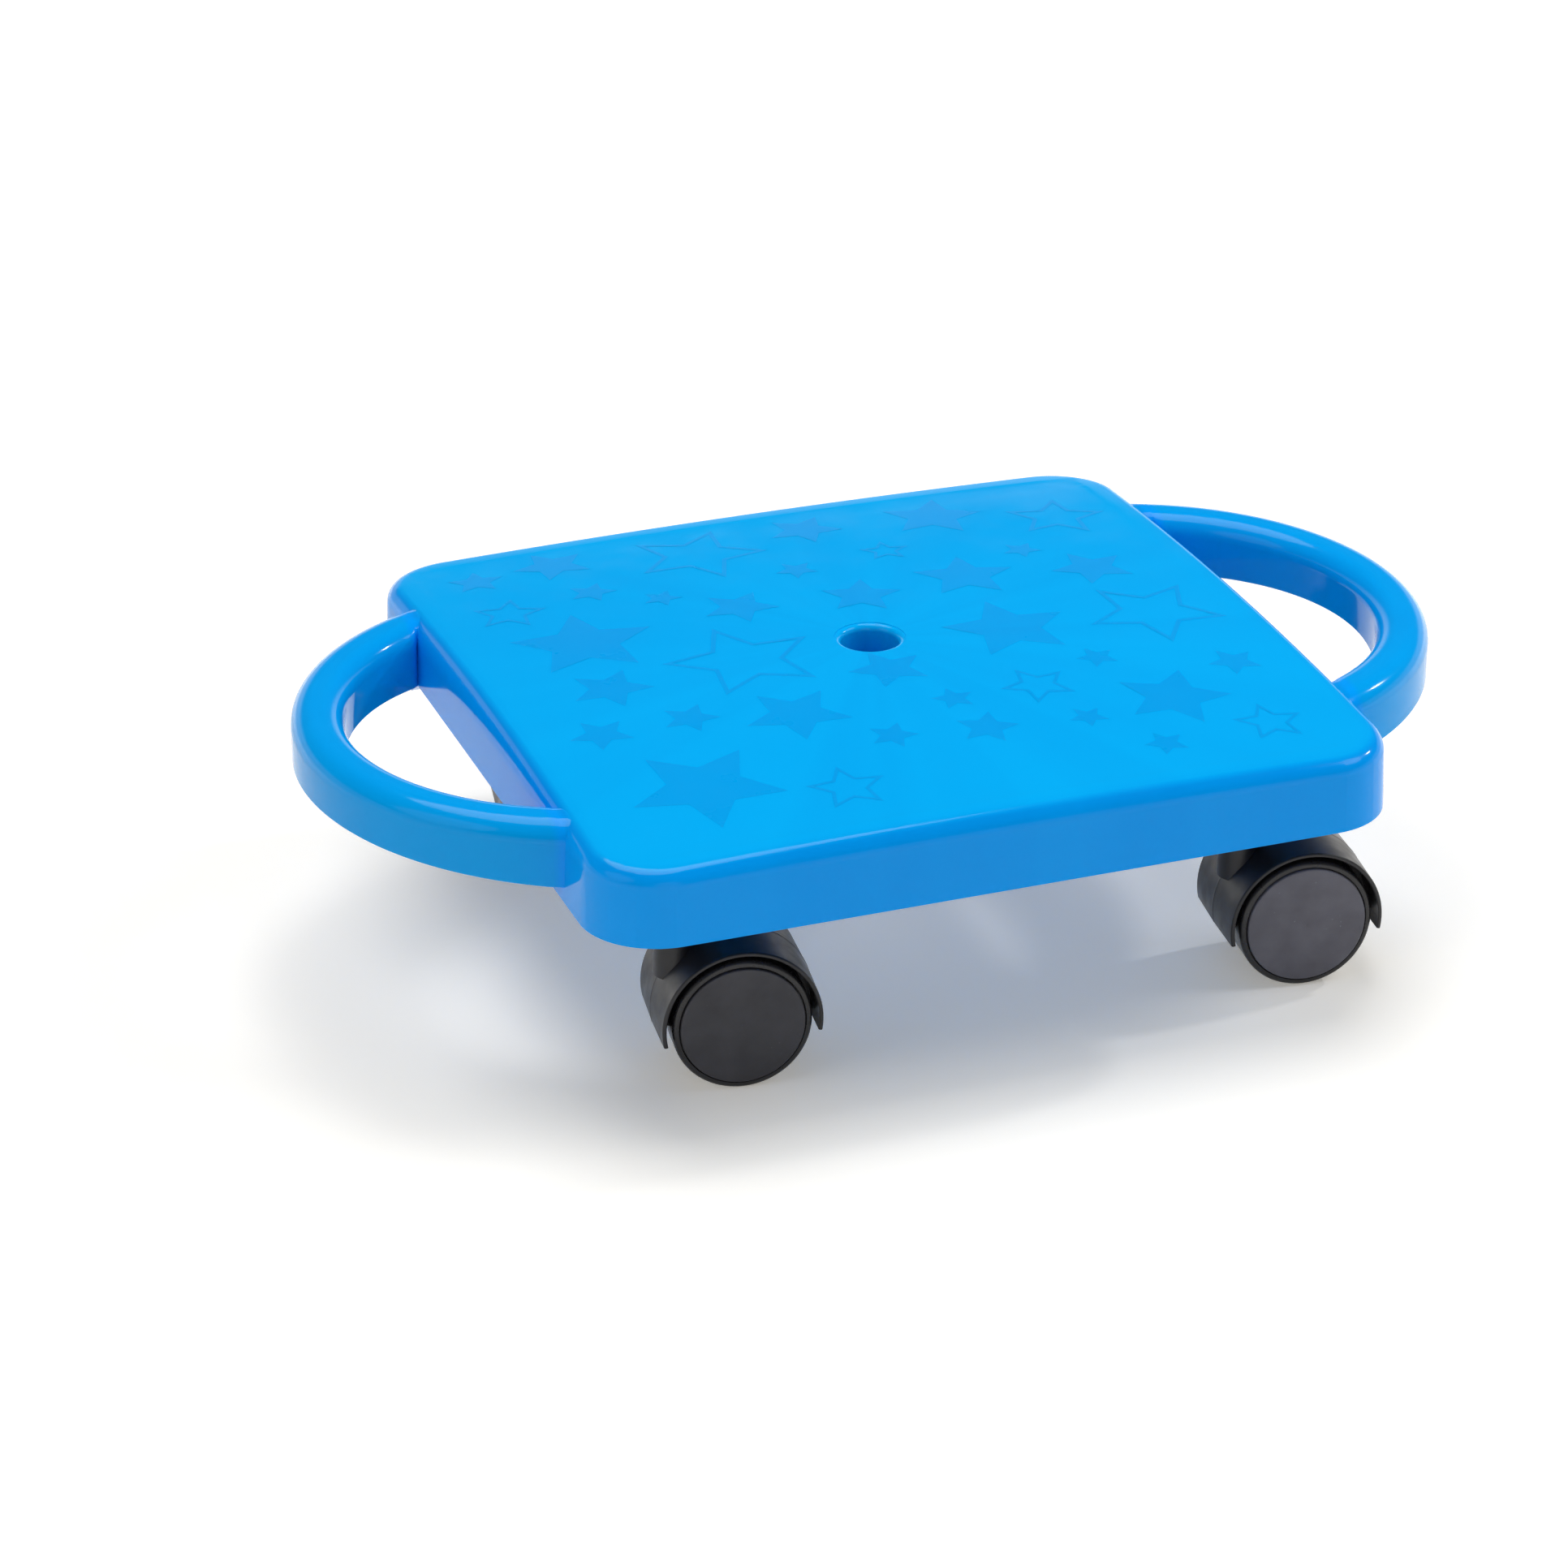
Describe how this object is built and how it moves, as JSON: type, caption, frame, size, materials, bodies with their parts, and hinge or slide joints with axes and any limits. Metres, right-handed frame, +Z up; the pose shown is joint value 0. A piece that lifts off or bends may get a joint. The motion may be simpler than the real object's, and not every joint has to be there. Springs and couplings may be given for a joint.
{
  "type": "scooter board",
  "caption": "Low square moulded scooter board with a hand loop on two opposite sides, a hole through its middle and a twin-wheel swivel caster under each corner.",
  "frame": {"origin": "on the floor under the middle of the deck, at the middle of the wheels' lowest level", "axes": "+X from hand loop to hand loop, +Y away from the front edge, +Z up"},
  "size_m": [0.4316, 0.2852, 0.1106],
  "materials": {
    "deck_blue": "moulded, satin to gloss, with a fine grain in the panel",
    "caster_charcoal": "moulded, matt with a fine spark grain",
    "wheel_black": "moulded nylon, satin",
    "cap_charcoal": "moulded, matt",
    "zinc_steel": "zinc plated",
    "socket_grey": "moulded, satin"
  },
  "bodies": {
    "board": {"deck": "deck_blue", "front_left_socket": "socket_grey", "front_left_kingpin": "zinc_steel", "front_left_grip_ring": "zinc_steel", "front_right_socket": "socket_grey", "front_right_kingpin": "zinc_steel", "front_right_grip_ring": "zinc_steel", "rear_left_socket": "socket_grey", "rear_left_kingpin": "zinc_steel", "rear_left_grip_ring": "zinc_steel", "rear_right_socket": "socket_grey", "rear_right_kingpin": "zinc_steel", "rear_right_grip_ring": "zinc_steel"},
    "front_left_caster": {"front_left_hood": "caster_charcoal", "front_left_axle": "zinc_steel"},
    "front_left_inner_roller": {"front_left_inner_wheel": "wheel_black", "front_left_inner_cap": "cap_charcoal"},
    "front_left_outer_roller": {"front_left_outer_wheel": "wheel_black", "front_left_outer_cap": "cap_charcoal"},
    "front_right_caster": {"front_right_hood": "caster_charcoal", "front_right_axle": "zinc_steel"},
    "front_right_inner_roller": {"front_right_inner_wheel": "wheel_black", "front_right_inner_cap": "cap_charcoal"},
    "front_right_outer_roller": {"front_right_outer_wheel": "wheel_black", "front_right_outer_cap": "cap_charcoal"},
    "rear_left_caster": {"rear_left_hood": "caster_charcoal", "rear_left_axle": "zinc_steel"},
    "rear_left_inner_roller": {"rear_left_inner_wheel": "wheel_black", "rear_left_inner_cap": "cap_charcoal"},
    "rear_left_outer_roller": {"rear_left_outer_wheel": "wheel_black", "rear_left_outer_cap": "cap_charcoal"},
    "rear_right_caster": {"rear_right_hood": "caster_charcoal", "rear_right_axle": "zinc_steel"},
    "rear_right_inner_roller": {"rear_right_inner_wheel": "wheel_black", "rear_right_inner_cap": "cap_charcoal"},
    "rear_right_outer_roller": {"rear_right_outer_wheel": "wheel_black", "rear_right_outer_cap": "cap_charcoal"}
  },
  "joints": [
    {"name": "front_left_swivel", "type": "hinge", "parent": "board", "child": "front_left_caster", "pos_m": [-0.1086, -0.0917, 0.05], "axis": [0, 0, 1], "continuous": true},
    {"name": "front_left_inner_roll", "type": "hinge", "parent": "front_left_caster", "child": "front_left_inner_roller", "pos_m": [-0.08859, -0.09448, 0.025], "axis": [0.1374, 0.9905, 0], "continuous": true},
    {"name": "front_left_outer_roll", "type": "hinge", "parent": "front_left_caster", "child": "front_left_outer_roller", "pos_m": [-0.08859, -0.09448, 0.025], "axis": [0.1374, 0.9905, 0], "continuous": true},
    {"name": "front_right_swivel", "type": "hinge", "parent": "board", "child": "front_right_caster", "pos_m": [0.1086, -0.0917, 0.05], "axis": [0, 0, 1], "continuous": true},
    {"name": "front_right_inner_roll", "type": "hinge", "parent": "front_right_caster", "child": "front_right_inner_roller", "pos_m": [0.12864, -0.09423, 0.025], "axis": [0.1253, 0.9921, 0], "continuous": true},
    {"name": "front_right_outer_roll", "type": "hinge", "parent": "front_right_caster", "child": "front_right_outer_roller", "pos_m": [0.12864, -0.09423, 0.025], "axis": [0.1253, 0.9921, 0], "continuous": true},
    {"name": "rear_left_swivel", "type": "hinge", "parent": "board", "child": "rear_left_caster", "pos_m": [-0.1086, 0.0917, 0.05], "axis": [0, 0, 1], "continuous": true},
    {"name": "rear_left_inner_roll", "type": "hinge", "parent": "rear_left_caster", "child": "rear_left_inner_roller", "pos_m": [-0.08868, 0.08837, 0.025], "axis": [0.165, 0.9863, 0], "continuous": true},
    {"name": "rear_left_outer_roll", "type": "hinge", "parent": "rear_left_caster", "child": "rear_left_outer_roller", "pos_m": [-0.08868, 0.08837, 0.025], "axis": [0.165, 0.9863, 0], "continuous": true},
    {"name": "rear_right_swivel", "type": "hinge", "parent": "board", "child": "rear_right_caster", "pos_m": [0.1086, 0.0917, 0.05], "axis": [0, 0, 1], "continuous": true},
    {"name": "rear_right_inner_roll", "type": "hinge", "parent": "rear_right_caster", "child": "rear_right_inner_roller", "pos_m": [0.1286, 0.08889, 0.025], "axis": [0.1392, 0.9903, 0], "continuous": true},
    {"name": "rear_right_outer_roll", "type": "hinge", "parent": "rear_right_caster", "child": "rear_right_outer_roller", "pos_m": [0.1286, 0.08889, 0.025], "axis": [0.1392, 0.9903, 0], "continuous": true}
  ]
}
